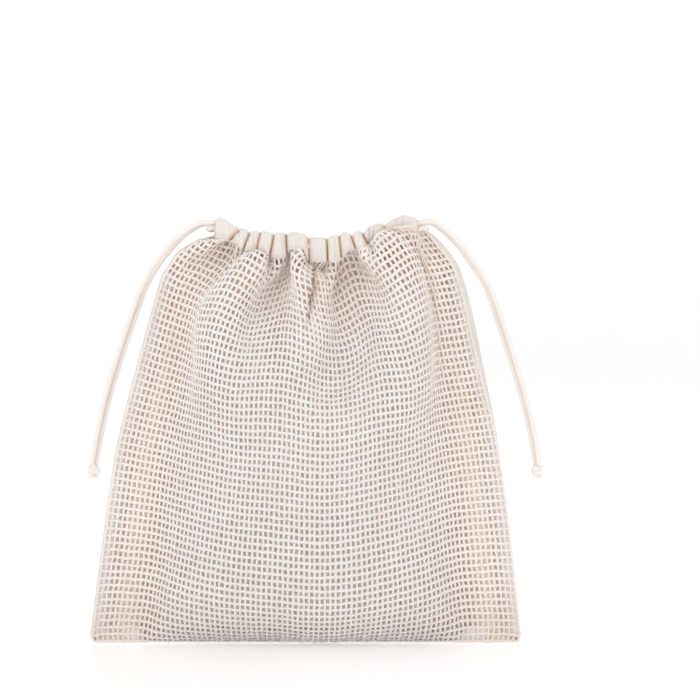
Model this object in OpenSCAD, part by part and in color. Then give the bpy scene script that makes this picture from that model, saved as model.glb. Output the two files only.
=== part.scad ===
// Mesh produce bag: an open cotton net in front, plain cotton behind, drawn half shut by two cords.
// Origin at the middle of the base, +Z up, the net faces -Y, millimetres.

/* [Bag] */
// Width across the bottom seam
bag_w = 300; // [280:2:320]
// Height from the base to the lower edge of the casing, at the middle of the mouth
net_h = 264; // [256:1:270]
// How far each panel bulges from the side seams
bulge = 42; // [38:1:46]
// How far the base reaches to the front and to the back
base_d = 22; // [18:1:25]
// Thickness of the cloth with its soft nap
cloth_t = 1.5; // [1.2:0.1:1.8]
// Width of the seam allowances inside the bag
seam_w = 10; // [8:0.5:12]

/* [Casing] */
// Width of the half-drawn mouth
mouth_w = 141; // [135:1:147]
// Height of each casing at the middle of the mouth
casing_h = 17; // [16:0.5:20]
// Half the thickness of each gathered casing
casing_r = 6.2; // [6.2:0.1:6.6]
// Number of pleats along each casing
pleats = 10; // [6:1:12]

/* [Cords] */
// Diameter of both drawcords
cord_d = 3.5; // [3:0.1:3.5]
// Distance between the two cords, which cross over each other in the casings
cord_gap = 4.3; // [4.2:0.1:4.4]
// Height of the knots above the base
knot_z = 120; // [112:1:128]

/* [Hidden] */
columns = 30;
rows = 24;
turn = 5;
rings = 40;
gap = 0.2;
mouth_x = 8.5;
half_mouth = mouth_w / 2;
fw = bag_w / 300;
fh = net_h / 264;
side_top = net_h + 16.2;
lip_z = net_h + 0.3;
seam_foot = cloth_t + 0.6;
stitch_l = 2;
stitch_d = 0.5;
thread_d = 0.8;
net_cream = [0.93, 0.89, 0.82];
cotton = [0.90, 0.86, 0.79];
cord_white = [0.95, 0.93, 0.88];
thread_tan = [0.88, 0.82, 0.72];

// Half width of the bag, and the drift of its middle line, against the height of the side seam.
half_widths = [
    [0, 150], [70, 142], [137, 132], [204, 118], [237, 109.5],
    [254, 104.5], [262, 100.5], [270, 94], [276, 87], [280.2, 74]
];
drifts = [[0, 0], [204, 3.5], [262, 5], [280.2, 8.5]];
// Depth of a panel at its middle, against the height of its middle.
depths = [[14, 0.86], [45, 0.99], [70, 1], [120, 0.96], [170, 0.84], [215, 0.68], [245, 0.52], [264, 0.43]];
underside = [[0, 0, gap], [1.5, 0, base_d / 2], [3, 0, base_d], [7, 4, bulge * 0.72], [16, 14, bulge * 0.86]];

// Routes of the tails, left and right, from the casing end to the knot: x outward and z.
left_route = [
    [-72, 291], [-80.5, 286.6], [-90, 278.6], [-102, 264.4], [-111.7, 247.8], [-118.5, 230],
    [-126, 208], [-133, 186], [-139, 164], [-143.7, 142]
];
right_route = [
    [88.5, 291.6], [97.5, 285.2], [107.2, 275.5], [116.6, 262.6], [126, 247.8], [133, 229],
    [141, 205], [148.4, 180.5], [154.6, 158], [158.4, 139.5]
];
left_knot_x = -147;
right_knot_x = 161;

function mix(a, b, t) = a + (b - a) * t;
function unit(v) = v / norm(v);
function up_the_net(j) = (j - turn + 1) / (rows - turn + 1);
function side_z(j) = j < turn ? underside[j][0] : mix(16, side_top, up_the_net(j));
function middle_z(j) = j < turn ? underside[j][1] : mix(14, net_h, up_the_net(j));
function depth(j) = j < turn ? underside[j][2] : bulge * lookup(middle_z(j) / fh, depths);
function half_width(z) = fw * lookup(z / side_top * 280.2, half_widths);
function drift(z) = lookup(z / side_top * 280.2, drifts);
function across(i) = mix(2 * i / columns - 1, -cos(180 * i / columns), 0.5);
function valley(x, at, wide) = exp(-pow((x - at) / wide, 2));
function fade(z, low, high) = z <= low || z >= high ? 0 : sin(180 * (z - low) / (high - low));

// Folds that run down from the gathers: the middle one, the left drape and the long right one.
function folds(x, z) =
    6 * valley(x, mix(-2, 8, (z - 200) / 64), 8) * fade(z, 190, 272) +
    4 * valley(x, mix(-72, -40, (z - 225) / 45), 9) * fade(z, 205, 268) +
    4 * valley(x, 86, 9) * fade(z, 120, 262);

// A point of the front panel, on its outer face or, with t, that far inside.
// The share of folds is 1 in front and 0 behind.
function skin_at(i, j, share, t) =
    let(u = across(i))
    let(level = max(0, (j - rows + 3) / 3))
    let(full = max(0, 1 - pow(abs(u), mix(2.6, 2, level))))
    let(x = u * (half_width(side_z(j)) - t) + drift(side_z(j)))
    let(z = mix(middle_z(j), side_z(j), u * u))
    let(deep = max(0, depth(j) - gap) * pow(full, mix(0.6, 1, level)))
    let(out = max(0, deep - share * folds(x, z) * min(1, deep / 12)))
    [x, -gap - out * (1 - t / max(6, depth(j))), z + t * (1 - z / side_top)];

// A closed slab between two grids of points.
module slab(outer, inner, nc, nr) {
    w = nc + 1;
    n = w * (nr + 1);
    rim = concat(
        [for (i = [0:nc - 1]) i],
        [for (j = [0:nr - 1]) j * w + nc],
        [for (i = [nc:-1:1]) nr * w + i],
        [for (j = [nr:-1:1]) j * w]
    );
    polyhedron(
        points = concat(outer, inner),
        faces = [
            for (j = [0:nr - 1], i = [0:nc - 1])
                let(a = j * w + i)
                each [[a, a + w, a + w + 1], [a, a + w + 1, a + 1]],
            for (j = [0:nr - 1], i = [0:nc - 1])
                let(a = n + j * w + i)
                each [[a, a + w + 1, a + w], [a, a + 1, a + w + 1]],
            for (k = [0:len(rim) - 1])
                let(a = rim[k], b = rim[(k + 1) % len(rim)])
                each [[a, b, b + n], [a, b + n, a + n]]
        ],
        convexity = 10
    );
}

// A closed solid through rings of equally many points.
module through(hoops) {
    n = len(hoops[0]);
    last = (len(hoops) - 1) * n;
    polyhedron(
        points = [for (r = hoops) each r],
        faces = [
            [for (k = [0:n - 1]) k],
            for (j = [0:len(hoops) - 2], k = [0:n - 1])
                let(a = j * n + k, b = j * n + (k + 1) % n)
                each [[a, a + n, b + n], [a, b + n, b]],
            [for (k = [n - 1:-1:0]) last + k]
        ],
        convexity = 10
    );
}

// A ring of a cord at p, across the direction t.
function hoop(p, t, r, sides, toward) =
    let(a = unit(cross(t, toward)), b = cross(a, unit(t)))
    [for (k = [0:sides - 1]) p + r * (cos(360 * k / sides) * a - sin(360 * k / sides) * b)];

function along(path, k) = path[min(k + 1, len(path) - 1)] - path[max(k - 1, 0)];

module cord(path, first, last, r, sides, toward) {
    n = len(path) - 1;
    through([
        for (k = [0:n])
            hoop(path[k], k == 0 ? first : k == n ? last : along(path, k), r, sides, toward)
    ]);
}

module panel(share) {
    slab(
        [for (j = [0:rows], i = [0:columns]) skin_at(i, j, share, 0)],
        [for (j = [0:rows], i = [0:columns]) skin_at(i, j, share, cloth_t)],
        columns, rows
    );
}

// The casing runs along s from -1 at its left end to 1 at its right end.
function casing_x(s) = mouth_x + s * half_mouth;
function casing_y(s) = -(casing_r + 1 + 12 * (1 - s * s));
function casing_hh(s) = casing_h / 2 - 0.8 * s * s;
function casing_z(s) = lip_z + casing_h / 2 + 15.5 * s * s;
function pleat(s) = cos(180 * pleats * (s + 1));
function casing_w(s, dz) =
    (casing_r - 0.4 + 0.6 * pleat(s)) * pow(max(0, 1 - pow(abs(dz) / casing_hh(s), 4)), 0.25);

function casing_ring(s, w, h) = [
    for (k = [0:19])
        let(c = cos(18 * k), d = sin(18 * k))
        [
            casing_x(s),
            casing_y(s) + w * sign(c) * sqrt(abs(c)),
            casing_z(s) + h * sign(d) * sqrt(abs(d))
        ]
];

module casing() {
    difference() {
        through([
            for (k = [0:rings])
                let(s = 2 * k / rings - 1)
                casing_ring(s, casing_r - 0.4 + 0.6 * pleat(s), casing_hh(s))
        ]);
        through([
            for (k = [0:rings])
                let(s = 1.03 * (2 * k / rings - 1))
                casing_ring(s, casing_r - 2, casing_hh(s) - 1.6)
        ]);
    }
}

// Two rows of stitches along the lower edge of a casing.
module casing_stitches() {
    n = floor(mouth_w * 0.94 / 3.2);
    for (row = [2.5, 4.5], k = [0:n - 1]) {
        s = 0.94 * (2 * k / (n - 1) - 1);
        dz = row - casing_hh(s);
        y = casing_y(s) - casing_w(s, dz);
        ahead = casing_y(s + 0.01) - casing_w(s + 0.01, dz);
        translate([casing_x(s), y - stitch_d / 2 - 0.25, casing_z(s) + dz])
            rotate([0, 0, atan2(ahead - y, 0.01 * half_mouth)])
                cube([stitch_l, stitch_d, stitch_d], center = true);
    }
}

// A seam allowance between two edges given as lists of [x, z].
module allowance(edge, inner) {
    through([
        for (k = [0:len(edge) - 1])
            [
                [edge[k][0], -0.8, edge[k][1]], [edge[k][0], 0.8, edge[k][1]],
                [inner[k][0], 0.8, inner[k][1]], [inner[k][0], -0.8, inner[k][1]]
            ]
    ]);
}

function side_edge(side, inset) = [
    for (k = [0:20])
        let(z = mix(5, side_top - 19, k / 20))
        [drift(z) + side * (half_width(z) - inset), z]
];

module side_allowance(side) {
    if (side > 0)
        allowance(side_edge(side, 4), side_edge(side, 4 + seam_w));
    else
        allowance(side_edge(side, 4 + seam_w), side_edge(side, 4));
}

module bottom_allowance() {
    half = bag_w / 2 - seam_w - 8;
    translate([-half, -0.8, seam_foot])
        cube([2 * half, 1.6, seam_w]);
}

function raised(edge) = [for (p = edge) [p[0], 0, p[1]]];

module overlock() {
    half = bag_w / 2 - seam_w - 8;
    r = thread_d / 2;
    for (side = [-1, 1]) {
        edge = raised(side_edge(side, 4 + seam_w + r + 0.15));
        cord(edge, [0, 0, 1], [0, 0, 1], r, 6, [0, 1, 0]);
    }
    translate([-half, 0, seam_foot + seam_w + r + 0.1])
        rotate([0, 90, 0])
            cylinder(h = 2 * half, d = thread_d, $fn = 12);
}

// A cord's middle line in the front casing at s. It is the upper one at its own end, s = side.
function in_casing(side, s) = [
    casing_x(s),
    casing_y(s) + side * cord_gap / 2 * cos(90 * s),
    casing_z(s) + 0.9 + side * cord_gap / 2 * sin(90 * s)
];

// The part of a cord that lies in both casings, open at its own end. Side 1 opens at the right.
module cord_loop(side) {
    turn_r = casing_r + 1;
    run = [for (k = [0:6]) in_casing(side, side * (1 - k / 3))];
    far = run[6];
    bend = [
        for (a = [30:60:150])
            [far[0] - side * (1 + 4.2 * sin(a)), -turn_r * cos(a), far[2]]
    ];
    back = [for (k = [6:-1:0]) [run[k][0], -run[k][1], run[k][2]]];
    cord(concat(run, bend, back), [-side, 0, 0], [side, 0, 0], cord_d / 2, 8, [0, 0, 1]);
}

// A tail from the casing end to the knot. Front is -1 for the strand nearer the net.
module cord_tail(side, route, knot_x, front) {
    exit = in_casing(side, side);
    start = [exit[0], -front * exit[1], exit[2]];
    n = len(route);
    path = concat(
        [start],
        [
            for (k = [0:n - 1])
                let(t = min(1, (k + 1) / 6))
                [
                    route[k][0] - side * front * 1.35 * t,
                    front * mix(casing_r + 1, 1.7, t),
                    route[k][1] - front * 0.4 * t
                ]
        ],
        [[knot_x - side * front * 1.35, front * 1.6, knot_z + 4.5]]
    );
    cord(path, [side, 0, 0], [0, 0, -1], cord_d / 2, 8, [0, 1, 0]);
}

// An overhand knot with its two cut ends.
module knot(x) {
    translate([x, 0, knot_z]) {
        cylinder(h = 8.4, d = 7.8, center = true, $fn = 32);
        rotate([18, 9, 0])
            rotate_extrude($fn = 32)
                translate([3.3, 0])
                    circle(d = cord_d, $fn = 16);
        for (end = [-1, 1])
            rotate([0, 8 * end, 0])
                translate([1.9 * end, 0, -5.6])
                    cylinder(h = 4, d = cord_d, $fn = 16);
    }
}

module front_mesh_panel() {
    color(net_cream)
        panel(1);
}

module back_panel() {
    color(cotton)
        mirror([0, 1, 0])
            panel(0);
}

module front_casing() {
    color(cotton)
        casing();
}

module back_casing() {
    color(cotton)
        mirror([0, 1, 0])
            casing();
}

module left_side_seam() {
    color(cotton)
        side_allowance(-1);
}

module right_side_seam() {
    color(cotton)
        side_allowance(1);
}

module bottom_seam() {
    color(cotton)
        bottom_allowance();
}

module seam_overlocking() {
    color(thread_tan)
        overlock();
}

module front_casing_stitching() {
    color(thread_tan)
        casing_stitches();
}

module back_casing_stitching() {
    color(thread_tan)
        mirror([0, 1, 0])
            casing_stitches();
}

module left_drawcord_loop() {
    color(cord_white)
        cord_loop(-1);
}

module left_drawcord_front_tail() {
    color(cord_white)
        cord_tail(-1, left_route, left_knot_x, -1);
}

module left_drawcord_back_tail() {
    color(cord_white)
        cord_tail(-1, left_route, left_knot_x, 1);
}

module left_knot() {
    color(cord_white)
        knot(left_knot_x);
}

module right_drawcord_loop() {
    color(cord_white)
        cord_loop(1);
}

module right_drawcord_front_tail() {
    color(cord_white)
        cord_tail(1, right_route, right_knot_x, -1);
}

module right_drawcord_back_tail() {
    color(cord_white)
        cord_tail(1, right_route, right_knot_x, 1);
}

module right_knot() {
    color(cord_white)
        knot(right_knot_x);
}

front_mesh_panel();
back_panel();
front_casing();
back_casing();
left_side_seam();
right_side_seam();
bottom_seam();
seam_overlocking();
front_casing_stitching();
back_casing_stitching();
left_drawcord_loop();
left_drawcord_front_tail();
left_drawcord_back_tail();
left_knot();
right_drawcord_loop();
right_drawcord_front_tail();
right_drawcord_back_tail();
right_knot();
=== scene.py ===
import math

import bpy
import numpy as np
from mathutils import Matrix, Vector


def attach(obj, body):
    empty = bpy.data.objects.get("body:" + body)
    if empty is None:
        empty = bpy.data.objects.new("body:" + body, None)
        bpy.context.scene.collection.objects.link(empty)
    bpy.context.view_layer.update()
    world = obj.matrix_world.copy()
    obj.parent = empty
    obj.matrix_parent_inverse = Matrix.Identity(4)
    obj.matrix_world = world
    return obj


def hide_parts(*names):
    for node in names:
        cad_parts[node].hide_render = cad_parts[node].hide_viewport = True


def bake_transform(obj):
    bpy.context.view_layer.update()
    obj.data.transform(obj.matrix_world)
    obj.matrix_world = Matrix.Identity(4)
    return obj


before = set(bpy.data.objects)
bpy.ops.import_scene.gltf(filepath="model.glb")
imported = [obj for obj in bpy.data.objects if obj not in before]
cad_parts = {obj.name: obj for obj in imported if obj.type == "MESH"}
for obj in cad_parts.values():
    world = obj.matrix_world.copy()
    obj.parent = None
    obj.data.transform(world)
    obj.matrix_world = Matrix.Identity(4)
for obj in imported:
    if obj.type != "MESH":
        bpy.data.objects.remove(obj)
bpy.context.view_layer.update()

MM = 0.001
RNG = np.random.default_rng(7)
TUBE_SIDES = 6


# ---------------------------------------------------------------- helpers
def spline(points, t):
    """Catmull-Rom through points, at the float indices t."""
    points = np.asarray(points, float)
    n = len(points)
    i = np.clip(np.floor(t).astype(int), 0, n - 2)
    f = (t - i).reshape((-1,) + (1,) * (points.ndim - 1))
    a, b = points[np.maximum(i - 1, 0)], points[i]
    c, d = points[i + 1], points[np.minimum(i + 2, n - 1)]
    return 0.5 * (2 * b + (c - a) * f + (2 * a - 5 * b + 4 * c - d) * f**2 + (3 * b - a - 3 * c + d) * f**3)


def evenly(points, count):
    """count points at even distances along a polyline."""
    s = np.r_[0, np.cumsum(np.linalg.norm(np.diff(points, axis=0), axis=1))]
    at = np.linspace(0, s[-1], count)
    return np.stack([np.interp(at, s, points[:, k]) for k in range(3)], 1)


def smooth_route(points, step):
    """A smooth line through the points with a point every step."""
    points = np.asarray(points, float)
    fine = spline(points, np.linspace(0, len(points) - 1, len(points) * 20))
    length = np.linalg.norm(np.diff(fine, axis=0), axis=1).sum()
    return evenly(fine, max(4, int(length / step) + 1))


def unit(v):
    return v / (np.linalg.norm(v, axis=-1, keepdims=True) + 1e-12)


def smoothstep(a, b, x):
    t = np.clip((x - a) / (b - a), 0, 1)
    return t * t * (3 - 2 * t)


def make_object(name, verts, faces, material, uv=None, tint=None):
    """An object from millimetre vertices. uv is one pair per vertex, tint one colour factor per vertex."""
    mesh = bpy.data.meshes.new(name)
    mesh.from_pydata((np.asarray(verts) * MM).tolist(), [], faces)
    mesh.validate()
    if uv is not None:
        layer = mesh.uv_layers.new(name="cloth")
        loops = np.empty(len(mesh.loops), int)
        mesh.loops.foreach_get("vertex_index", loops)
        layer.data.foreach_set("uv", np.asarray(uv, np.float32)[loops].ravel())
    colours = np.ones((len(verts), 4), np.float32)
    if tint is not None:
        colours[:, :3] = np.asarray(tint).reshape(-1, 3)
    tints = mesh.attributes.new("tint", "FLOAT_COLOR", "POINT")
    tints.data.foreach_set("color", colours.ravel())
    mesh.polygons.foreach_set("use_smooth", [True] * len(mesh.polygons))
    mesh.update()
    obj = bpy.data.objects.new(name, mesh)
    bpy.context.scene.collection.objects.link(obj)
    mesh.materials.append(material)
    return obj


def toned(amount, colour):
    """Colour factors between white, where amount is 0, and colour, where it is 1."""
    return 1 + np.asarray(amount)[..., None] * (np.array(colour) - 1)


def tubes(lines, normals, wide, thick, sides=TUBE_SIDES):
    """Capped tubes of an oval section along m lines of n points. wide and thick broadcast to (m, n)."""
    m, n = lines.shape[:2]
    tangent = unit(np.gradient(lines, axis=1))
    across = unit(np.cross(tangent, normals))
    up = np.cross(across, tangent)
    angle = np.arange(sides) * 2 * np.pi / sides
    wide = np.broadcast_to(wide, (m, n))[..., None, None]
    thick = np.broadcast_to(thick, (m, n))[..., None, None]
    ring = (
        lines[:, :, None]
        + wide * np.cos(angle)[:, None] * across[:, :, None]
        + thick * np.sin(angle)[:, None] * up[:, :, None]
    )
    index = np.arange(m * n * sides).reshape(m, n, sides)
    a, b = index[:, :-1], index[:, 1:]
    quads = np.stack([a, b, np.roll(b, -1, 2), np.roll(a, -1, 2)], -1).reshape(-1, 4)
    caps = [index[k, 0].tolist() for k in range(m)] + [index[k, -1, ::-1].tolist() for k in range(m)]
    return ring.reshape(-1, 3), quads.tolist() + caps


def sheet_shell(grid, thick, uv_size):
    """A closed thin shell round a grid of points (rows, columns, 3), and its uv in millimetres."""
    rows, cols = grid.shape[:2]
    normal = unit(np.cross(np.gradient(grid, axis=1), np.gradient(grid, axis=0)))
    shift = normal * thick / 2
    verts = np.concatenate([(grid + shift).reshape(-1, 3), (grid - shift).reshape(-1, 3)])
    index = np.arange(rows * cols).reshape(rows, cols)
    upper = np.stack([index[:-1, :-1], index[:-1, 1:], index[1:, 1:], index[1:, :-1]], -1).reshape(-1, 4)
    half = rows * cols
    rim = np.concatenate([index[0, :-1], index[:-1, -1], index[-1, :0:-1], index[:0:-1, 0]])
    ahead = np.roll(rim, -1)
    edge = np.stack([rim, rim + half, ahead + half, ahead], -1)
    faces = np.concatenate([upper, upper[:, ::-1] + half, edge]).tolist()
    u, v = np.meshgrid(np.linspace(0, uv_size[0], cols), np.linspace(0, uv_size[1], rows))
    uv = np.stack([u.ravel(), v.ravel()], 1)
    return verts, faces, np.concatenate([uv, uv])


# ---------------------------------------------------------------- camera
SENSOR_WIDTH = 36
CAMERA_DISTANCE = 1.5
VIEW_WIDTH = 0.4858
VIEW_X, VIEW_Z = 0.0309, 0.2033


def build_camera():
    """A level camera in front of the bag, that sees VIEW_WIDTH metres in the bag's middle plane."""
    data = bpy.data.cameras.new("camera")
    data.sensor_width = SENSOR_WIDTH
    data.lens = SENSOR_WIDTH * CAMERA_DISTANCE / VIEW_WIDTH
    data.clip_end = 20
    camera = bpy.data.objects.new("camera", data)
    camera.location = (VIEW_X, -CAMERA_DISTANCE, VIEW_Z)
    camera.rotation_euler = (math.pi / 2, 0, 0)
    bpy.context.scene.collection.objects.link(camera)
    bpy.context.scene.camera = camera


# ---------------------------------------------------------------- materials
def add_math(nodes, operation):
    node = nodes.new("ShaderNodeMath")
    node.operation = operation
    return node


def add_noise(nodes, scale, detail):
    node = nodes.new("ShaderNodeTexNoise")
    node.inputs["Scale"].default_value = scale
    node.inputs["Detail"].default_value = detail
    return node


def woven_height(tree, fibre, pitch):
    """The height of a plain weave of that pitch in mm, with some of the fibre noise in it."""
    nodes, links = tree.nodes, tree.links
    uv = nodes.new("ShaderNodeUVMap")
    uv.uv_map = "cloth"
    split = nodes.new("ShaderNodeSeparateXYZ")
    links.new(uv.outputs["UV"], split.inputs[0])
    waves = []
    for k in (0, 1):
        turn = add_math(nodes, "MULTIPLY")
        turn.inputs[1].default_value = math.pi / pitch
        links.new(split.outputs[k], turn.inputs[0])
        wave = add_math(nodes, "SINE")
        links.new(turn.outputs[0], wave.inputs[0])
        waves.append(wave)
    cross = add_math(nodes, "MULTIPLY")
    links.new(waves[0].outputs[0], cross.inputs[0])
    links.new(waves[1].outputs[0], cross.inputs[1])
    add = add_math(nodes, "MULTIPLY_ADD")
    add.inputs[1].default_value = 0.5
    links.new(cross.outputs[0], add.inputs[0])
    links.new(fibre.outputs["Fac"], add.inputs[2])
    return add.outputs[0]


def cotton(name, color, weave=0.0, noise_scale=350.0, bump=0.5, shade=0.06, glow=0):
    """Matt cotton: fibres and slubs from noise, and where weave is given a plain weave of that pitch in mm.

    The tint of each vertex is painted light and shade where cloth lies close to other cloth: painted shade
    in folds, in casing creases and at the bottom of the net, painted light at the seams.
    """
    material = bpy.data.materials.new(name)
    material.use_nodes = True
    tree = material.node_tree
    nodes, links = tree.nodes, tree.links
    shader = nodes["Principled BSDF"]
    shader.inputs["Roughness"].default_value = 0.92
    shader.inputs["Specular IOR Level"].default_value = 0.2
    shader.inputs["Sheen Weight"].default_value = 0.25
    shader.inputs["Sheen Roughness"].default_value = 0.5
    shader.inputs["Sheen Tint"].default_value = (1.0, 0.95, 0.92, 1)
    shader.inputs["Subsurface Weight"].default_value = glow
    shader.inputs["Subsurface Radius"].default_value = (1.0, 0.6, 0.4)
    shader.inputs["Subsurface Scale"].default_value = 0.0015
    place = nodes.new("ShaderNodeTexCoord")
    blotch = add_noise(nodes, 28, 5)
    fibre = add_noise(nodes, noise_scale * 6, 4)
    for node in (blotch, fibre):
        links.new(place.outputs["Object"], node.inputs["Vector"])
    ramp = nodes.new("ShaderNodeValToRGB")
    dark = [c * (1 - shade) * t for c, t in zip(color, (1.0, 0.985, 0.96))]
    ramp.color_ramp.elements[0].position = 0.32
    ramp.color_ramp.elements[0].color = (*dark, 1)
    ramp.color_ramp.elements[1].position = 0.68
    ramp.color_ramp.elements[1].color = (*color, 1)
    blend = nodes.new("ShaderNodeMix")
    blend.inputs[0].default_value = 0.35
    links.new(blotch.outputs["Fac"], blend.inputs[2])
    links.new(fibre.outputs["Fac"], blend.inputs[3])
    links.new(blend.outputs[0], ramp.inputs["Fac"])
    # The tint attribute multiplies in the painted light and shade.
    tint = nodes.new("ShaderNodeAttribute")
    tint.attribute_name = "tint"
    warm = nodes.new("ShaderNodeMix")
    warm.data_type = "RGBA"
    warm.blend_type = "MULTIPLY"
    warm.inputs[0].default_value = 1
    links.new(ramp.outputs["Color"], warm.inputs[6])
    links.new(tint.outputs["Color"], warm.inputs[7])
    links.new(warm.outputs[2], shader.inputs["Base Color"])
    height = woven_height(tree, fibre, weave) if weave else fibre.outputs["Fac"]
    relief = nodes.new("ShaderNodeBump")
    relief.inputs["Strength"].default_value = bump
    relief.inputs["Distance"].default_value = 0.0003
    links.new(height, relief.inputs["Height"])
    links.new(relief.outputs["Normal"], shader.inputs["Normal"])
    return material


MATERIALS = {
    "net": cotton("net_yarn", (0.887, 0.832, 0.818), noise_scale=300, glow=0.25),
    "calico": cotton("calico_cloth", (0.93, 0.865, 0.835), weave=0.62, bump=0.7, shade=0.11, glow=0.6),
    "casing": cotton("casing_calico", (0.90, 0.825, 0.785), weave=0.62, bump=0.45, glow=0.3),
    "cord": cotton("drawcord", (0.93, 0.87, 0.835), noise_scale=420),
    "thread": cotton("sewing_thread", (0.88, 0.80, 0.74), noise_scale=500, bump=0.4),
}


# ---------------------------------------------------------------- shape of the mouth and the seams
# Knots of the net, and with the flat size of a panel their distances.
COLS, ROWS = 86, 62
CLOTH_W, CLOTH_H = 304.0, 290.0
STEP_X, STEP_Z = CLOTH_W / (COLS - 1), CLOTH_H / (ROWS - 1)
# Creases of the front casing: place, slant and setback behind the cord line.
# Between them the depth of the pleats.
CREASES = np.array([-62.8, -49.3, -40.6, -32.3, -22.9, -12.1, 2.8, 15.6, 24.6, 33.7, 42.3, 56.6, 78.1])
SLANTS = np.array([0, 6.5, 4.5, 3, 2.8, -0.7, -0.5, -0.7, -1.5, -2.8, -4.4, -3.8, 0])
CREASE_BACK = np.array([3, 3, 2.5, 3, 3, 2, 4.5, 1, 0.5, 0.5, -2, -4, -3])
LOBE_DEPTH = np.array([9, 7, 7.5, 9, 8.5, 11.5, 8.5, 7.5, 7, 8, 7.5, 7])
BACK_LOBE_DEPTH = np.array([8.0, 9, 8, 9, 10, 8, 9, 9, 8, 9, 8, 8])
BACK_SETBACK = 2.5
# Right of FLAT_FROM the pleats of the front casing are shallow.
# Right of HIDDEN_FROM its foot runs on behind the net.
FLAT_FROM, FLAT_DEPTH = 43.4, 4.5
HIDDEN_FROM = 46.2
# Outlines of the front casing and of the bag, as (x, z).
HEM_LINE = np.array([
    (-62, 279), (-52, 279), (-47, 277), (-43.5, 272), (-40, 271), (-30, 270), (-23, 268), (-20.5, 266.5),
    (-13, 266.5), (-10, 272), (-1, 272), (2.5, 265), (4.5, 263.8), (21, 263.8), (26, 266), (29, 271.5),
    (42, 272.5), (46, 277), (50.5, 283), (57.5, 286), (68.5, 288), (78, 288)], float)
TOP_LINE = np.array([
    (-63.5, 291), (-61.5, 293), (-59, 295), (-54.7, 293), (-49.5, 289), (-45, 287.5), (-38, 285), (-29, 285),
    (-23, 283.6), (-17.5, 283.5), (-12, 283.5), (-7, 284), (-0.5, 282.6), (4, 280.4), (10, 279.9),
    (14, 280.2), (20.5, 281.4), (27, 284), (32.5, 282.8), (36.5, 284.8), (41, 284.5), (44, 288),
    (49.5, 290), (56, 290.2), (61, 293.4), (68.5, 296.3), (76, 294.4), (79, 292)], float)
LEFT_EDGE = np.array([
    (-150, 0), (-141, 71), (-131, 137), (-114, 204), (-105, 237), (-100, 254), (-95, 262), (-89, 271),
    (-80, 277), (-72, 281), (-63, 282)], float)
RIGHT_EDGE = np.array([
    (150, 0), (143, 71), (134, 137), (121, 204), (114, 237), (109, 254), (106, 262), (100, 271), (93, 279),
    (86, 285), (79, 288)], float)
END_L, END_R = CREASES[0], CREASES[-1]
MID_X, HALF_X = (END_L + END_R) / 2, (END_R - END_L) / 2
# The cords are MOUTH_END from the middle plane at the ends of the casings, MOUTH_BOW more in the middle.
MOUTH_END, MOUTH_BOW = 7.2, 12
# Each panel keeps this far from the middle plane.
SEAM_Y = 0.6


def cord_y(x):
    """How far in front of the middle plane the front casing lies, as a negative number."""
    s = np.clip((x - MID_X) / HALF_X, -1, 1)
    return -(MOUTH_END + MOUTH_BOW * (1 - s * s))


def lobes(x, creases, depths, flat=2.3):
    """0 at each crease, 1 on top of each pleat, and that pleat's depth."""
    k = np.clip(np.searchsorted(creases, x, side="right") - 1, 0, len(creases) - 2)
    t = 2 * (x - creases[k]) / (creases[k + 1] - creases[k]) - 1
    lean = 1 + 0.22 * np.sin(2.4 * k) * t * (flat > 3)
    return lean * np.sqrt(np.clip(1 - np.abs(t) ** flat, 0, 1)), depths[k]


def pleats(front):
    """Places, depths, slants and setback of the creases of a casing."""
    if front:
        return CREASES, LOBE_DEPTH, SLANTS, CREASE_BACK
    mirrored = 2 * MID_X - CREASES[::-1]
    return mirrored, BACK_LOBE_DEPTH, SLANTS[::-1] * 0.5, np.full(len(CREASES), BACK_SETBACK)


def hem_z(x, front):
    """Height of the seam between a panel and its casing."""
    if front:
        return np.interp(x, HEM_LINE[:, 0], HEM_LINE[:, 1])
    return 264.5 + 15 * ((x - MID_X) / HALF_X) ** 2 + 1.2 * np.sin(0.33 * x)


def top_z(x, front):
    """Height of the upper fold of a casing."""
    if front:
        return np.interp(x, TOP_LINE[:, 0], TOP_LINE[:, 1])
    return 279.0 + 13 * ((x - MID_X) / HALF_X) ** 2 + 0.9 * np.sin(0.41 * x + 1)


def hem_curve(front):
    """The pleated line in which a panel is sewn into its casing. y is negative in front."""
    creases, depths, slants, setback = pleats(front)
    creases = creases - slants * 0.4
    x = np.linspace(END_L, END_R, 4001)
    lobe, depth = lobes(x, creases, depths)
    y = cord_y(x) + np.interp(x, creases, setback) - depth * lobe
    inside = np.clip(np.minimum(x - END_L, END_R - x) / 6, 0, 1)
    y = y * inside - SEAM_Y * (1 - inside)
    return np.stack([x, y, hem_z(x, front)], 1)


# ---------------------------------------------------------------- cloth simulation
# How much of a wrong length each pass puts right, along the threads and aslant.
THREAD_STIFF, SLANT_STIFF = 0.9, 0.03
# Forces, as the mm per step that they add in each step: weight, the light load inside, the pull that keeps
# the sides flat, and the start of the folds.
WEIGHT, LOAD, SEAM_PULL, FOLD_PULL = 0.0025, 0.0034, 0.03, 0.006
# Half the depth that the bag may take at each height. Past the share FREE of it the cloth is slowed down,
# within the share SOFT.
ROOM_Z = [0, 6, 14, 25, 40, 60, 90, 130, 180, 230, 264, 300]
ROOM_Y = [10, 20, 30, 38, 44, 48, 50, 50, 48, 42, 33, 23]
FREE, SOFT = 0.85, 0.15
# Lowest place of the free cloth, height of the bottom seam, and half the seam's width.
FLOOR_Z, BOTTOM_Z, BOTTOM_X = 1.6, 1.5, 147
# The farthest that a knot may move in one step.
TOP_SPEED = 2


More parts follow.
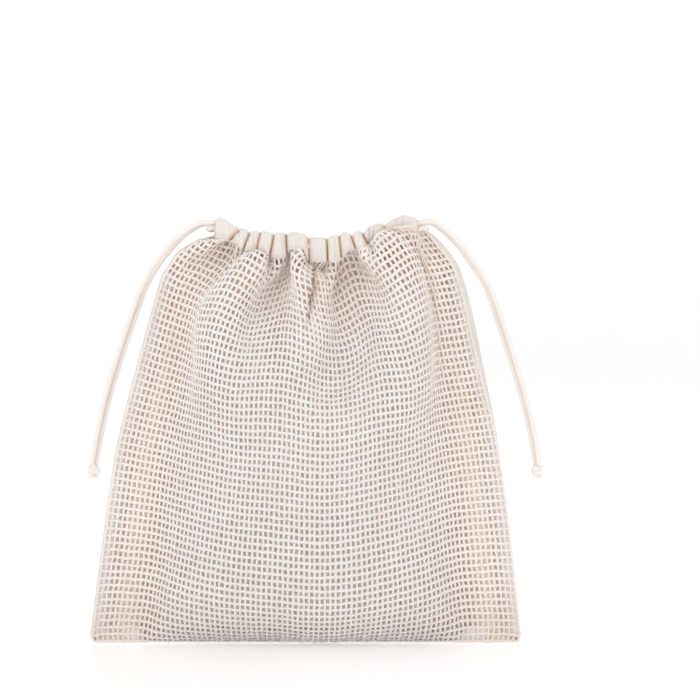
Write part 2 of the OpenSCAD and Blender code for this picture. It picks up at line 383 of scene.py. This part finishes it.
def solve(X, a, b, weights, rest, stiff, shorter_only=False):
    """Moves the point pairs (a, b) of X towards their rest distance."""
    A, B, wa, wb = X[a], X[b], weights[a], weights[b]
    d = B - A
    length = np.sqrt((d * d).sum(-1, keepdims=True)) + 1e-9
    off = length - rest
    if shorter_only:
        off = np.minimum(off, 0)
    move = stiff * off / (length * (wa + wb + 1e-9)) * d
    X[a] = A + move * wa
    X[b] = B - move * wb


def pairs():
    """Every set of independent point pairs of a panel, with its rest length, stiffness and kind."""
    every = slice(None)
    v = np.linspace(0, 1, ROWS)[:, None, None]
    pitch = STEP_X * (1 - 0.09 * smoothstep(0.15, 0.5, v) * (1 - smoothstep(0.85, 1.0, v)))
    slant = np.hypot(pitch[1:], STEP_Z)
    low, high = slice(None, -1), slice(1, None)
    sets, slants, bends = [], [], []
    for a in (0, 1):
        m = (COLS - a) // 2 * 2
        one, two = slice(a, a + m, 2), slice(a + 1, a + m + 1, 2)
        sets.append(((every, every, one), (every, every, two), pitch, THREAD_STIFF, False))
        slants.append(((every, low, one), (every, high, two), slant, SLANT_STIFF, False))
        slants.append(((every, high, one), (every, low, two), slant, SLANT_STIFF, False))
    for a in (0, 1):
        m = (ROWS - a) // 2 * 2
        one, two = slice(a, a + m, 2), slice(a + 1, a + m + 1, 2)
        sets.append(((every, one), (every, two), STEP_Z, THREAD_STIFF, False))
    for span, stiff in ((2, 0.15), (4, 0.12), (8, 0.06)):
        for c in (0, 1):
            i = np.arange(COLS - span)
            i = i[(i // span) % 2 == c]
            bends.append(((every, every, i), (every, every, i + span), span * pitch, stiff, True))
            j = np.arange(ROWS - span)
            j = j[(j // span) % 2 == c]
            bends.append(((every, j), (every, j + span), span * STEP_Z, stiff, True))
    return sets + slants, bends


# The three long folds that the cloth is led into: a line of (x, z) from its top down, how wide the press is
# left and right of it, its strength, and how far beside it the net is pushed over it, and how hard.
VALLEYS = [
    ([(7, 275), (6, 255), (4, 235), (2, 212)], 3, 11, 0.7, -7, 0.5),
    ([(-28, 275), (-40, 256), (-58, 243), (-72, 230)], 7, 4, 0.8, 8, -0.8),
    ([(70, 284), (79, 270), (86, 252), (90, 229), (93, 203), (95, 170)], 3, 7, 2.0, -7, 1.2),
]


def valley_pull(X):
    """Forces on the front panel that start the long folds: inwards on a line, out and over it beside."""
    push = np.zeros(X.shape)
    x, y, z = X[..., 0], X[..., 1], X[..., 2]
    for points, left_width, right_width, strength, offset, ridge in VALLEYS:
        line = np.array(points[::-1], float)
        at = np.interp(z, line[:, 1], line[:, 0])
        low, high = line[0, 1], line[-1, 1]
        fade = strength * smoothstep(low - 25, low + 15, z) * (1 - smoothstep(high, high + 12, z))
        width = np.where(x < at, left_width, right_width)
        push[..., 1] += fade * np.exp(-(((x - at) / width) ** 2)) * smoothstep(6, 15, -y)
        beside = fade * np.exp(-(((x - at - offset) / 5) ** 2))
        push[..., 0] += ridge * beside
        push[..., 1] -= 0.4 * beside
    return push


def seam_lines():
    """The left and the right side seam as ROWS points each, with the direction into the panel at each."""
    seams = []
    for edge, sign in ((LEFT_EDGE, 1), (RIGHT_EDGE, -1)):
        line = np.stack([edge[:, 0], 0 * edge[:, 0], edge[:, 1]], 1)
        line = evenly(spline(line, np.linspace(0, len(line) - 1, 200)), ROWS)
        t = unit(np.gradient(line, axis=0))
        seams.append((line, np.stack([sign * t[:, 2], 0 * t[:, 0], -sign * t[:, 0]], 1)))
    return seams


def loose_panels(u, v):
    """Front and back panel before the drape, with the seams, the bottom and the mouth in their places."""
    tops = [evenly(hem_curve(front), COLS) for front in (True, False)]
    tops[1][:, 1] *= -1
    (left, in_left), (right, in_right) = seam_lines()
    roll = np.clip((1 - v[:, 0]) / 0.06, 0, 1)[:, None]
    inset_right = (1.2 + 2.6 * smoothstep(120, 220, right[:, 2]))[:, None]
    X = np.zeros((2, ROWS, COLS, 3))
    for p, top in enumerate(tops):
        side = -1 if p == 0 else 1
        a = ((u + 1) / 2)[..., None]
        base = left[:, None] * (1 - a) + right[:, None] * a
        crown = np.clip(1 - np.abs(u) ** 2.6, 0, 1) ** 0.6
        base[..., 1] = side * 42 * np.sin(np.pi * np.clip(v * 0.92 + 0.04, 0, 1)) ** 0.45 * crown
        w = smoothstep(0, 1, np.clip((v - 0.8) / 0.2, 0, 1) ** 2)[..., None]
        X[p] = base * (1 - w) + top[None] * w
        X[p, -1] = top
        X[p, :, 0] = left + in_left * 2.0 * roll
        X[p, :, -1] = right + in_right * inset_right * roll
        X[p, :, 0, 1] = X[p, :, -1, 1] = -2.6 * roll[:, 0] - (SEAM_Y if p == 0 else 0.1)
        if p == 1:
            X[p, :, 1] = left + in_left * 0.2
            X[p, :, -2] = right + in_right * 0.2
            X[p, :, 1, 1] = X[p, :, -2, 1] = -0.4 * roll[:, 0] + 0.5
        X[p, 0, :, 1] = side * SEAM_Y
        X[p, 0, :, 2] = BOTTOM_Z
        X[p, 0, :, 0] = np.linspace(-BOTTOM_X, BOTTOM_X, COLS)
        X[p, -1, 0, 1] = X[p, -1, -1, 1] = side * SEAM_Y
    return X


def keep_in_room(X):
    """Keeps both panels on their own side of the middle plane, above the floor and inside the room."""
    X[0, ..., 1] = np.minimum(X[0, ..., 1], -SEAM_Y)
    X[1, ..., 1] = np.maximum(X[1, ..., 1], SEAM_Y)
    X[..., 2] = np.maximum(X[..., 2], FLOOR_Z)
    room = np.interp(X[..., 2], ROOM_Z, ROOM_Y)
    over = np.maximum(np.abs(X[..., 1]) - room * FREE, 0)
    slowed = np.sign(X[..., 1]) * room * (FREE + SOFT * np.tanh(over / (room * SOFT)))
    X[..., 1] = np.where(over > 0, slowed, X[..., 1])


def drape(steps):
    """Front and back panel, sewn together and gathered at the mouth, under their weight and a light load."""
    rng = np.random.default_rng(3)
    v = np.linspace(0, 1, ROWS)[:, None]
    u = np.linspace(-1, 1, COLS)[None]
    X = loose_panels(u, v)
    pinned = np.zeros((2, ROWS, COLS), bool)
    pinned[:, 0] = pinned[:, -1] = pinned[:, :, 0] = pinned[:, :, -1] = True
    pinned[1, :, 1] = pinned[1, :, -2] = True
    X += rng.normal(0, 0.05, X.shape) * ~pinned[..., None]
    held = X[pinned].copy()
    weights = (~pinned).astype(float)[..., None]
    V = np.zeros_like(X)
    inside = 1 - np.abs(u)
    slim = smoothstep(0.5, 0.8, v)
    filled = 0.45 + 0.55 * (1 - smoothstep(0.72, 0.93, v))
    load = smoothstep(0.13 - 0.04 * slim, 0.36 - 0.12 * slim, inside) * filled
    flank = 1 - smoothstep(0.15 - 0.05 * slim, 0.30 - 0.10 * slim, inside)
    sets, bends = pairs()
    for step in range(steps):
        across, along = np.zeros_like(X), np.zeros_like(X)
        across[:, :, 1:-1] = X[:, :, 2:] - X[:, :, :-2]
        along[:, 1:-1] = X[:, 2:] - X[:, :-2]
        force = np.cross(across, along) / (4 * STEP_X * STEP_Z)
        force[1] *= -1
        force *= (LOAD * load * min(1, step / 200))[..., None]
        force[..., 1] -= SEAM_PULL * flank * X[..., 1] * (1 - smoothstep(0.8, 0.95, v))
        force[..., 2] -= WEIGHT
        force[0] += FOLD_PULL * valley_pull(X[0]) * min(1, step / 100)
        V = (V + force * weights) * (0.985 if step < steps * 0.7 else 0.93)
        before = X.copy()
        X = X + V * weights
        for _ in range(2):
            for a, b, rest, stiff, short in sets:
                solve(X, a, b, weights, rest, stiff, short)
        for a, b, rest, stiff, short in bends:
            solve(X, a, b, weights, rest, stiff, short)
        keep_in_room(X)
        X[pinned] = held
        V = X - before
        speed = np.sqrt((V * V).sum(-1, keepdims=True))
        V *= np.minimum(1, TOP_SPEED / (speed + 1e-9))
    return X


# The two sharp folds: a line of (x, z) from its top down, its depth, and how far it dies out to the right.
FOLDS = [
    ([(8, 284), (6.5, 268), (4, 245), (1, 222), (-1, 208)], 19, 11),
    ([(68, 284), (77, 270), (85, 252), (89, 229), (92, 203), (94, 150)], 13, 12),
]


def press_folds(panel):
    """Presses the panel in right of each fold's line, so that the net left of it laps over.

    Also gives how far each point is pressed, from 0 to 1.
    """
    panel = panel.copy()
    pressed = np.zeros(panel.shape[:2])
    for points, depth, reach in FOLDS:
        line = np.array(points[::-1], float)
        x, y, z = panel[..., 0], panel[..., 1], panel[..., 2]
        d = x - np.interp(z, line[:, 1], line[:, 0])
        low, high = line[0, 1], line[-1, 1]
        fade = smoothstep(low, low + 0.6 * (high - low), z) * (1 - smoothstep(high - 22, high - 8, z) * 0.6)
        fade = fade * np.clip((-y - 2) / 12, 0, 1)
        fade[-1] = 0
        share = np.where(d > 0, np.exp(-d / reach), smoothstep(-2.4, 0, d))
        panel[..., 1] += fade * depth * share
        drawn_under = -0.22 * depth * (d / reach) * np.exp(1 - d / reach)
        lapped_over = 0.16 * depth * np.exp(d / 5)
        panel[..., 0] += fade * np.where(d > 0, drawn_under, lapped_over)
        pressed = np.maximum(pressed, fade * share)
    return panel, pressed


# ---------------------------------------------------------------- net and back cloth
# Half width of the yarns that run up and across, and half their thickness.
WALE_WIDE, COURSE_WIDE, YARN_THICK = 0.91, 1.15, 0.50
# Colour factors of the net: painted light near the seams, painted shade in the folds, and painted shade at
# the bottom.
SEAM_LIGHT_TINT, FOLD_SHADE_TINT, BOTTOM_SHADE_TINT = (1.10, 1.04, 1.005), (0.86, 0.71, 0.61), (0.91, 0.885, 0.88)
# Colour factors of the back cloth: painted light on its inner layer near the seams, and the colour of its
# outer layer.
INNER_LIGHT_TINT, OUTER_TINT = (1.05, 1.0, 0.96), (0.98, 0.945, 0.91)
CLOTH_THICK = 0.5


def half_steps(count):
    """The indices of count points and the places half way between them."""
    return np.arange(0, count - 1 + 1e-6, 0.5)


def seam_nearness():
    """1 where the two panels lie close together, at the sides and under the casing, 0 in the middle: where
    light is painted on the net and on the back cloth's inner layer.
    """
    inside = 1 - np.abs(np.linspace(-1, 1, COLS))[None]
    v = np.linspace(0, 1, ROWS)[:, None]
    return np.maximum(1 - smoothstep(0.12, 0.45, inside), 0.6 * smoothstep(0.7, 0.95, v))


def build_yarns(name, knots, normal, tint, wide, swell):
    """A yarn down each column of knots. swell holds its width factors at a knot and between two knots."""
    count, yarns = knots.shape[:2]
    at = half_steps(count)
    lines = spline(knots, at).transpose(1, 0, 2)
    face = spline(normal, at).transpose(1, 0, 2)
    swell = np.where(np.arange(len(at)) % 2 == 0, *swell)[None]
    vary = 1 + spline(RNG.normal(0, 0.07, (count, yarns)), at).T
    verts, faces = tubes(lines, face, wide * swell * vary, YARN_THICK * swell)
    tones = np.repeat(spline(tint, at).transpose(1, 0, 2)[:, :, None], TUBE_SIDES, 2)
    return make_object(name, verts, faces, MATERIALS["net"], tint=tones)


def build_net(panel, pressed):
    """Each thread of the open net as an oval yarn: wales run up, courses run across."""
    normal = unit(np.cross(np.gradient(panel, axis=1), np.gradient(panel, axis=0)))
    normal *= np.sign(-normal[..., 1].mean())
    grain = unit(np.gradient(panel, axis=1))
    rise = unit(np.gradient(panel, axis=0))
    sway = RNG.normal(0, 0.16, panel.shape[:2])
    lift = RNG.normal(0, 0.20, panel.shape[:2])
    for grid in (sway, lift):
        grid[:, 0] = grid[:, -1] = 0
        grid[0] = grid[-1] = 0
    alternate = (-1.0) ** (np.arange(ROWS)[:, None] + np.arange(COLS)[None])
    zigzag = (-1.0) ** np.arange(ROWS)
    over = normal * (0.22 * alternate)[..., None]
    knots = panel + grain * sway[..., None] + rise * lift[..., None]
    wale_knots = knots + over + grain * (0.13 * zigzag)[:, None, None]
    course_knots = knots - over
    # Painted light near the seams and painted shade in the folds of the net.
    tint = toned(seam_nearness(), SEAM_LIGHT_TINT) * toned(pressed, FOLD_SHADE_TINT)
    # Painted shade towards the bottom of the net.
    tint = tint * toned(1 - smoothstep(0, 0.17, np.linspace(0, 1, ROWS)[:, None]), BOTTOM_SHADE_TINT)
    wales = build_yarns("front_net_wales", wale_knots, normal, tint, WALE_WIDE, (1.06, 0.96))
    across = [grid.transpose(1, 0, 2) for grid in (course_knots, normal, tint)]
    courses = build_yarns("front_net_courses", *across, COURSE_WIDE, (1.05, 0.97))
    return wales, courses


def build_back(panel):
    """The back panel as one plain cloth."""
    fine = spline(panel, half_steps(ROWS))
    fine = spline(fine.transpose(1, 0, 2), half_steps(COLS)).transpose(1, 0, 2)
    warm = spline(seam_nearness(), half_steps(ROWS))
    warm = spline(warm.T, half_steps(COLS)).T
    verts, faces, uv = sheet_shell(fine, CLOTH_THICK, (CLOTH_W, CLOTH_H))
    # Painted light on the inner layer near the seams.
    tint = np.stack([toned(warm, INNER_LIGHT_TINT), toned(0 * warm + 1, OUTER_TINT)])
    return make_object("back_cloth", verts, faces, MATERIALS["calico"], uv, tint=tint)


# ---------------------------------------------------------------- casings
# Rows of points up each layer of a casing, and how far below its top the fold begins.
LAYER_ROWS, FOLD_HEIGHT = 15, 1.5
# Painted shade in the creases of a casing, as a colour factor.
CREASE_SHADE_TINT = (0.86, 0.66, 0.50)
# Heights of the two rows of stitches as shares of the casing, and a stitch without and with its gap.
STITCH_ROWS, STITCH, STITCH_PITCH = (0.13, 0.25), 2.2, 2.9
# Waves of the fine crinkles: length and lean.
CRINKLES = ((3.3, 2), (5.1, -3), (8.9, 2))


def casing_section(x, front, h, outer):
    """y of the outer or inner layer of a casing at height share h, as if it were the front one."""
    creases, depths, slants, setback = pleats(front)
    creases = creases + slants * (h - 0.4)
    lobe, depth = lobes(x, creases, depths, 4.2 if outer else 2.3)
    fall = 1 - 0.25 * smoothstep(0.35, 1.0, h)
    hold = 3.6 * smoothstep(0.0, 0.3, h) * (1 - smoothstep(0.86, 1.05, h)) + 0.5
    sewn = 7 * (1 - smoothstep(0.0, 0.4, h))
    end = np.clip(np.minimum(x - END_L, END_R - x) / 10, 0, 1)
    if outer:
        back = np.clip(np.interp(x, creases, setback), 1, 3)
        depth = np.where((x > FLAT_FROM) & front, FLAT_DEPTH, depth)
        crinkle = sum(np.sin(x * 2 * np.pi / wave + 2.2 * wave + lean * h) for wave, lean in CRINKLES)
        a = (depth * lobe * fall - back * (1 - 0.5 * h)) * (0.35 + 0.65 * end) + 0.9 * smoothstep(0, 0.15, h)
        a = a + 0.32 * crinkle * lobe * np.minimum(1, end + 0.3)
        b = hold * (0.55 + 0.45 * lobe) - sewn + 0.12 * crinkle
    else:
        middle = (creases[1:] + creases[:-1]) / 2
        other, _ = lobes(np.clip(x, middle[0], middle[-1]), middle, depths)
        a = 3.7 - depth * lobe * fall
        b = hold + 4 * other * end * smoothstep(0.05, 0.4, h) * fall
    soft = 0.7
    reach = soft * np.logaddexp(a / soft, b / soft)
    return cord_y(x) - reach if outer else cord_y(x) + reach


def casing_foot(x, front):
    """The lower edge of a casing. At the right end of the front one it runs on behind the net."""
    low = hem_z(x, front) - 0.4
    if front:
        hidden = 262 + 15.5 * ((x - MID_X) / HALF_X) ** 2
        low = np.where(x > HIDDEN_FROM, np.minimum(low, hidden + (low - hidden) * 0.35), low)
    return low


def crease_distance(x, front, h):
    """How far each x is from the nearest crease of a casing at height share h."""
    creases, _, slants, _ = pleats(front)
    return np.abs(x[:, None] - creases[None] - slants[None] * (h - 0.4)).min(1)


def build_casing(front):
    """The folded strip round the cords: up the outside, over the fold, down the inside."""
    x = np.linspace(END_L + 0.2, END_R - 0.2, 460)
    low = casing_foot(x, front)
    high = top_z(x, front) - 1.3 * np.exp(-(crease_distance(x, front, 1.0) / 1.3) ** 2)
    rows, close = [], []
    for h in np.linspace(0, 1, LAYER_ROWS):
        rows.append((casing_section(x, front, h, True), low + (high - FOLD_HEIGHT - low) * h))
        close.append(np.exp(-((crease_distance(x, front, h) / 1.2) ** 2)))
    top_out, top_in = rows[-1][0], casing_section(x, front, 1.0, False)
    for angle in np.radians(np.linspace(20, 160, 6)):
        mix = (1 - math.cos(angle)) / 2
        rows.append((top_out * (1 - mix) + top_in * mix, high - FOLD_HEIGHT + FOLD_HEIGHT * math.sin(angle)))
    for h in np.linspace(1, 0, LAYER_ROWS):
        rows.append((casing_section(x, front, h, False), low + (high - FOLD_HEIGHT - low) * h))
    grid = np.array([np.stack([x, y, z], 1) for y, z in rows])
    close = np.array(close + [close[-1]] * (len(rows) - len(close)))
    if not front:
        grid[..., 1] *= -1
        grid, close = grid[::-1], close[::-1]
    verts, faces, uv = sheet_shell(grid, CLOTH_THICK, (CLOTH_W, 52))
    name = "front_casing_cloth" if front else "back_casing_cloth"
    # Painted shade along the creases.
    tint = toned(np.stack([close, close]), CREASE_SHADE_TINT)
    return make_object(name, verts, faces, MATERIALS["casing"], uv, tint=tint)


def build_stitches(front):
    """Two rows of lockstitch through the pleats of a casing, close above the panel."""
    x = np.linspace(END_L + 1.5, END_R - 1.5, 6000)
    low = casing_foot(x, front)
    lines = []
    for h in STITCH_ROWS:
        y = casing_section(x, front, h, True) - 0.38
        z = low + (top_z(x, front) - FOLD_HEIGHT - low) * h
        line = evenly(np.stack([x, y if front else -y, z], 1), 4000)
        length = np.linalg.norm(np.diff(line, axis=0), axis=1).sum()
        for start in np.arange(0.5, length - 3, STITCH_PITCH):
            at = (start + np.linspace(0, STITCH, 5)) / length * (len(line) - 1)
            lines.append(spline(line, at))
    lines = np.array(lines)
    outward = np.zeros_like(lines)
    outward[..., 1] = -1 if front else 1
    outward[..., 2] = 0.02
    dip = np.array([0.25, 0.0, 0.0, 0.0, 0.25])
    lines = lines - outward * dip[None, :, None]
    verts, faces = tubes(lines, outward, 0.24, 0.2)
    name = "front_casing_stitches" if front else "back_casing_stitches"
    return make_object(name, verts, faces, MATERIALS["thread"])


# ---------------------------------------------------------------- seams inside the bag
def build_allowance(name, grid):
    """The seam allowances of both panels, as one thin layer through a grid of points."""
    rows, cols = grid.shape[:2]
    verts, faces, uv = sheet_shell(grid, 0.7, (cols * STEP_X, rows * STEP_Z))
    return make_object(name, verts, faces, MATERIALS["calico"], uv)


def overlock_lines(edge, inward):
    """Thread looped over the free edge of an allowance."""
    length = np.linalg.norm(np.diff(edge, axis=0), axis=1).sum()
    count = int(length / 2.4)
    at = np.linspace(0, len(edge) - 1, count * 8)
    base = spline(edge, at)
    inward = spline(inward, at)
    phase = np.linspace(0, count * 2 * np.pi, len(at))[:, None]
    backward = np.array([0.0, 1.0, 0.0])
    return base + inward * (-1.2 + 1.5 * np.cos(phase)) + backward * 0.6 * np.sin(phase)


# ---------------------------------------------------------------- cords
# The way of each tail from the casing down to its knot, as (x, z).
# In all that follows side is -1 for the left cord and 1 for the right one.
LEFT_ROUTE = [(-72, 291), (-80.5, 286.6), (-90, 278.6), (-102, 264.4), (-111.7, 247.8), (-118.5, 230),
              (-126, 208), (-133, 186), (-139, 164), (-143.7, 142)]
RIGHT_ROUTE = [(88.5, 291.6), (97.5, 285.2), (107.2, 275.5), (116.6, 262.6), (126, 247.8), (133, 229),
               (141, 205), (148.4, 180.5), (154.6, 158), (158.4, 139.5)]
KNOT_X = {-1: -147.0, 1: 161.0}
KNOT_Z = 120.0
CORD_RADIUS, BRAID_PITCH = 1.75, 3.4
# Middle and half width of the mouth, and the distance of the two cords in the middle of a casing.
CASING_X, CASING_HALF, CORD_GAP = 8.5, 70.5, 4.3


def braid(path, radius, name):
    """A round cotton cord with a fine braid in its surface."""
    n, sides = len(path), 18
    tangent = unit(np.gradient(path, axis=0))
    side = np.cross(tangent[0], [0.31, 0.9, 0.3])
    sidewards = []
    for t in tangent:
        side = side - t * side.dot(t)
        side = side / np.linalg.norm(side)
        sidewards.append(side)
    a = np.array(sidewards)
    b = np.cross(tangent, a)
    s = np.r_[0, np.cumsum(np.linalg.norm(np.diff(path, axis=0), axis=1))]
    angle = np.arange(sides) * 2 * np.pi / sides
    one = np.cos(3 * angle[None] - 2 * np.pi * s[:, None] / BRAID_PITCH)
    two = np.cos(3 * angle[None] + 2 * np.pi * s[:, None] / BRAID_PITCH)
    r = radius * (0.985 + 0.05 * np.maximum(one, two))
    circle = np.cos(angle)[None, :, None] * a[:, None] + np.sin(angle)[None, :, None] * b[:, None]
    ring = path[:, None] + r[..., None] * circle
    index = np.arange(n * sides).reshape(n, sides)
    lo, hi = index[:-1], index[1:]
    quads = np.stack([lo, hi, np.roll(hi, -1, 1), np.roll(lo, -1, 1)], -1).reshape(-1, 4).tolist()
    caps = [index[0].tolist(), index[-1, ::-1].tolist()]
    return make_object(name, ring.reshape(-1, 3), quads + caps, MATERIALS["cord"])


def in_casing(side, s):
    """A cord's middle line in the front casing, s from -1 at the left end to 1 at the right one."""
    turn = math.pi / 2 * s
    return np.array([
        CASING_X + s * CASING_HALF,
        -(MOUTH_END + MOUTH_BOW * (1 - s * s)) + side * CORD_GAP / 2 * math.cos(turn),
        273.7 + 15.5 * s * s + side * CORD_GAP / 2 * math.sin(turn)])


def cord_exit(side, front):
    """Where a strand leaves its casing. front is -1 for the strand nearer the net, 1 for the other."""
    x, y, z = in_casing(side, side)
    return np.array([x, -front * y, z])


def tail_path(side, front):
    """The middle line of a tail, from its exit to its knot."""
    route = LEFT_ROUTE if side < 0 else RIGHT_ROUTE
    points = [cord_exit(side, front)]
    for k, (x, z) in enumerate(route):
        t = min(1, (k + 1) / 6)
        y = front * (MOUTH_END * (1 - t) + 1.7 * t)
        points.append((x - side * front * 1.35 * t, y, z - front * 0.4 * t))
    points.append((KNOT_X[side] - side * front * 1.1, front * 1.6, KNOT_Z + 3.0))
    return smooth_route(points, 1.0)


def loop_path(side):
    """Both casings of one cord and the turn at its far end, from the front exit to the back exit."""
    front = np.array([in_casing(side, side * (1 - k / 3)) for k in range(7)])
    far = front[-1]
    angles = np.radians([30, 90, 150])
    turn_x = far[0] - side * (1 + 4.2 * np.sin(angles))
    turn = np.stack([turn_x, -MOUTH_END * np.cos(angles), np.full(3, far[2])], 1)
    return smooth_route(np.concatenate([front, turn, front[::-1] * [1, -1, 1]]), 1.5)


def build_knot(name, side):
    """A tight overhand knot in both strands, with its two cut ends."""
    x_end = KNOT_X[side]
    t = np.linspace(0, 2 * np.pi, 161)[:-1]
    ball = np.stack([np.sin(t) + 2 * np.sin(2 * t), -np.sin(3 * t) * 1.5, np.cos(t) - 2 * np.cos(2 * t)], 1)
    ball *= [1.0, 1.0, 0.95]
    tilt = math.radians(-35 * side)
    turn = np.array([[math.cos(tilt), 0, math.sin(tilt)], [0, 1, 0], [-math.sin(tilt), 0, math.cos(tilt)]])
    ball = ball @ turn.T + [x_end, 0, KNOT_Z + 0.2]
    objs = [braid(np.concatenate([ball, ball[:2]]), 1.9, name)]
    for k in (-1, 1):
        end = [(x_end + 0.8 * k, 1.0 * k, KNOT_Z), (x_end + 1.6 * k, 1.2 * k, KNOT_Z - 3),
               (x_end + 1.9 * k, 1.2 * k, KNOT_Z - 5.3)]
        objs.append(braid(smooth_route(end, 0.8), 1.65, f"{name}_end"))
    bpy.ops.object.select_all(action="DESELECT")
    for obj in objs:
        obj.select_set(True)
    bpy.context.view_layer.objects.active = objs[0]
    bpy.ops.object.join()
    return objs[0]


def build_cords():
    """Both drawcords: knot, two tails, and the loop that runs through both casings."""
    for side, word in ((-1, "left"), (1, "right")):
        body = f"{word}_drawcord"
        knot = build_knot(f"{word}_cord_knot", side)
        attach(knot, body)
        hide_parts(f"{word}_knot")
        for front, which in ((-1, "front"), (1, "back")):
            path = tail_path(side, front)
            tail = braid(path, CORD_RADIUS, f"{word}_cord_{which}_tail")
            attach(tail, body)
            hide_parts(f"{word}_drawcord_{which}_tail")
        loop = braid(loop_path(side), CORD_RADIUS, f"{word}_cord_in_casings")
        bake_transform(loop)
        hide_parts(f"{word}_drawcord_loop")


# ---------------------------------------------------------------- stage
def build_world(scene):
    world = bpy.data.worlds.new("world")
    world.use_nodes = True
    world.node_tree.nodes["Background"].inputs["Color"].default_value = (1, 1, 1, 1)
    world.node_tree.nodes["Background"].inputs["Strength"].default_value = 0.63
    scene.world = world


def pale_material():
    """A nearly white floor with a little light of its own and a faint mirror image."""
    material = bpy.data.materials.new("pale_floor")
    material.use_nodes = True
    shader = material.node_tree.nodes["Principled BSDF"]
    shader.inputs["Base Color"].default_value = (0.97, 0.97, 0.97, 1)
    shader.inputs["Roughness"].default_value = 0.18
    shader.inputs["Specular IOR Level"].default_value = 0.5
    shader.inputs["Emission Color"].default_value = (1, 1, 1, 1)
    shader.inputs["Emission Strength"].default_value = 0.21
    return material


def build_bowl(material):
    """A round floor that curves up into a wall on all sides."""
    flat, bend, wall, turns = 2.4, 0.6, 1.4, 64
    profile = [(0.02, 0.0), (0.6, 0.0), (1.5, 0.0), (flat, 0.0)]
    for a in range(10, 91, 10):
        profile.append((flat + bend * math.sin(math.radians(a)), bend - bend * math.cos(math.radians(a))))
    profile.append((flat + bend, wall))
    verts = [(0, 0, 0)]
    for r, z in profile:
        for k in range(turns):
            angle = k * math.tau / turns
            verts.append((1000 * r * math.cos(angle), 1000 * r * math.sin(angle), 1000 * z))
    faces = [(0, 1 + k, 1 + (k + 1) % turns) for k in range(turns)]
    for ring in range(len(profile) - 1):
        low, high = 1 + ring * turns, 1 + (ring + 1) * turns
        faces += [(low + k, high + k, high + (k + 1) % turns, low + (k + 1) % turns) for k in range(turns)]
    return make_object("floor", verts, faces, material)


def build_light(scene, name, place, size, power, color):
    """A square light that looks at the middle of the bag."""
    data = bpy.data.lights.new(name, "AREA")
    data.size = size
    data.energy = power
    data.color = color
    light = bpy.data.objects.new(name, data)
    light.location = place
    light.rotation_euler = (Vector((0, 0, 0.15)) - Vector(place)).to_track_quat("-Z", "Y").to_euler()
    scene.collection.objects.link(light)


def build_stage():
    scene = bpy.context.scene
    scene.view_settings.view_transform = "Standard"
    build_world(scene)
    floor = build_bowl(pale_material())
    build_light(scene, "key", (-0.9, -1.2, 1.8), 1.3, 12, (1.0, 1.0, 1.0))
    build_light(scene, "fill", (1.4, -1.1, 0.7), 1.4, 4, (1.0, 0.99, 0.98))
    build_light(scene, "back", (0.9, 1.2, 1.3), 1.2, 5, (1.0, 1.0, 1.0))


# ---------------------------------------------------------------- put together
def on_bag(obj, slot, *nodes):
    """Puts a piece on the bag and hides the CAD nodes that it stands for. slot, its material slot, is not
    used.
    """
    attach(obj, "bag")
    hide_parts(*nodes)


def build_seams(front, back):
    """The three seam allowances and the threads looped over their edges."""
    threads = []
    for columns, word in (([0, 1, 2, 3], "left"), ([-4, -3, -2, -1], "right")):
        grid = front[1:-8, columns].copy()
        other = back[1:-8, columns]
        grid[..., 1] = 0.45 * grid[..., 1] + 0.55 * other[..., 1]
        grid = spline(grid, np.arange(0, len(grid) - 1, 0.5))
        strip = build_allowance(f"{word}_seam_allowance", grid)
        on_bag(strip, "calico", f"{word}_side_seam")
        edge, beside = (3, 2) if word == "left" else (0, 1)
        threads.append(overlock_lines(grid[:, edge], unit(grid[:, edge] - grid[:, beside])))
    foot = front[0, 6:-6] * [1, 0, 0]
    rise = np.array([1.4, 4.5, 8.0, 11.5])[:, None, None] * [0, 0, 1.0]
    grid = foot[None] + rise
    strip = build_allowance("bottom_seam_allowance", grid)
    on_bag(strip, "calico", "bottom_seam")
    threads.append(overlock_lines(grid[-1], np.zeros_like(foot) + [0, 0, 1.0]))
    verts, faces = [], []
    for line in threads:
        ring, quads = tubes(line[None], np.zeros_like(line[None]) + [0, 0.3, 1.0], 0.2, 0.2, 5)
        offset = sum(len(k) for k in verts)
        verts.append(ring)
        faces += [[i + offset for i in face] for face in quads]
    overlock = make_object("overlock_threads", np.concatenate(verts), faces, MATERIALS["thread"])
    on_bag(overlock, "thread", "seam_overlocking")


def build_bag():
    front, back = drape(1300)
    front, pressed = press_folds(front)
    wales, courses = build_net(front, pressed)
    on_bag(wales, "net", "front_mesh_panel")
    on_bag(courses, "net", "front_mesh_panel")
    cloth = build_back(back)
    on_bag(cloth, "calico", "back_panel")
    for is_front, word in ((True, "front"), (False, "back")):
        casing = build_casing(is_front)
        on_bag(casing, "calico", f"{word}_casing")
        stitches = build_stitches(is_front)
        on_bag(stitches, "thread", f"{word}_casing_stitching")
    build_seams(front, back)


build_camera()
build_cords()
build_bag()
build_stage()
